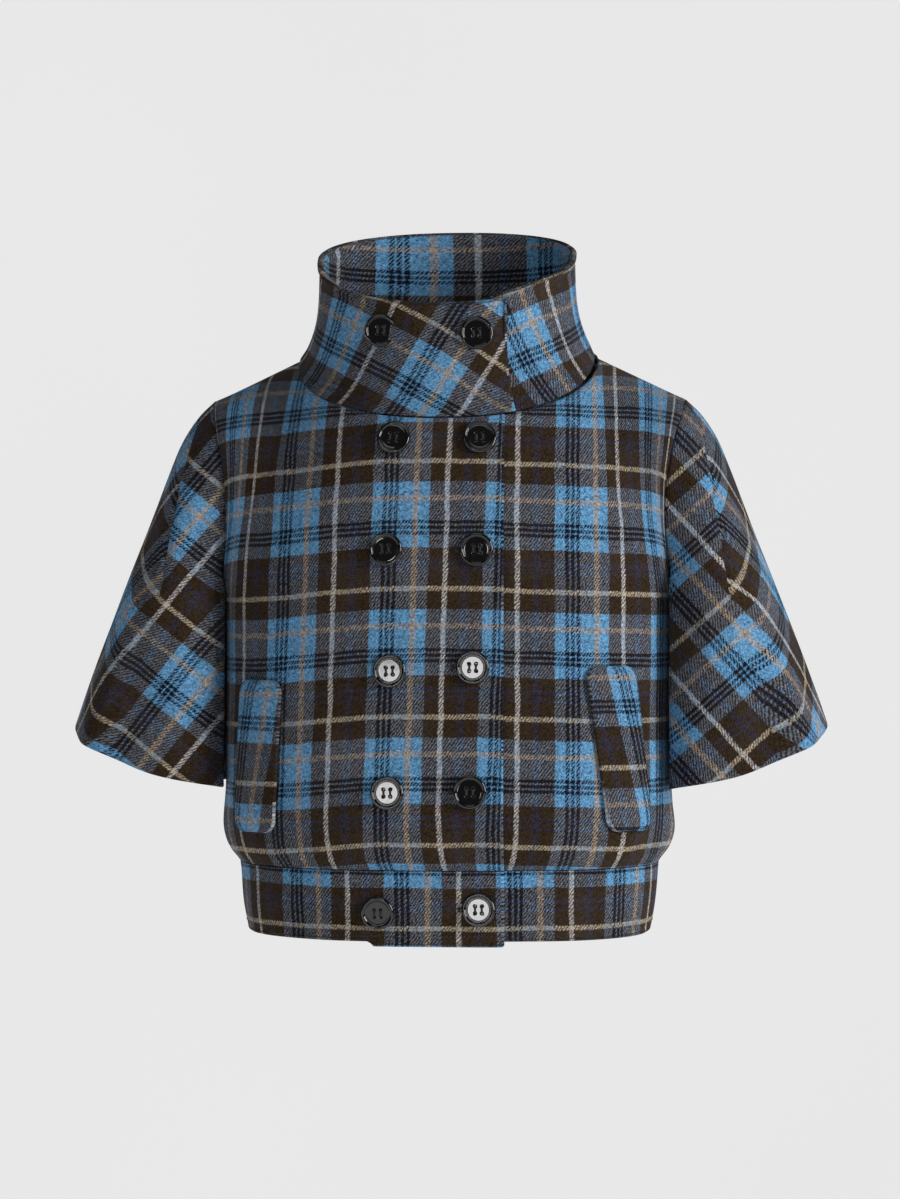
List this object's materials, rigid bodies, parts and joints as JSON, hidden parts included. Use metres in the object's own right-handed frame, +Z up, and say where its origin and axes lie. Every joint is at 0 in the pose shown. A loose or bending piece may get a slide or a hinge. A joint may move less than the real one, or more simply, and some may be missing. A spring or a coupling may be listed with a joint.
{
  "type": "tweed jacket",
  "caption": "Cropped double-breasted plaid wool jacket with cape sleeves, tall stand collar, welt pockets and a hem band, hollow and held in its worn form.",
  "frame": {"origin": "between the shoulders at the base of the neck, where a wearer's shoulders carry the jacket", "axes": "+Z up, -Y towards the front that buttons, +X towards the wearer's left"},
  "size_m": [0.6296, 0.2622, 0.5993],
  "materials": {
    "plaid_wool": "brushed wool twill with a blue, brown, navy and cream plaid",
    "black_button": "polished black"
  },
  "bodies": {
    "root": {"front_right": "plaid_wool", "front_left": "plaid_wool", "back": "plaid_wool", "sleeve_right": "plaid_wool", "sleeve_left": "plaid_wool", "collar": "plaid_wool", "hem_band_right": "plaid_wool", "hem_band_left": "plaid_wool", "hem_band_back": "plaid_wool", "pocket_welt_right": "plaid_wool", "pocket_welt_left": "plaid_wool", "button_collar_outer": "black_button", "button_collar_inner": "black_button", "button_chest_outer": "black_button", "button_chest_inner": "black_button", "button_bust_outer": "black_button", "button_bust_inner": "black_button", "button_waist_outer": "black_button", "button_waist_inner": "black_button", "button_low_outer": "black_button", "button_low_inner": "black_button", "button_hem_outer": "black_button", "button_hem_inner": "black_button"}
  },
  "joints": []
}
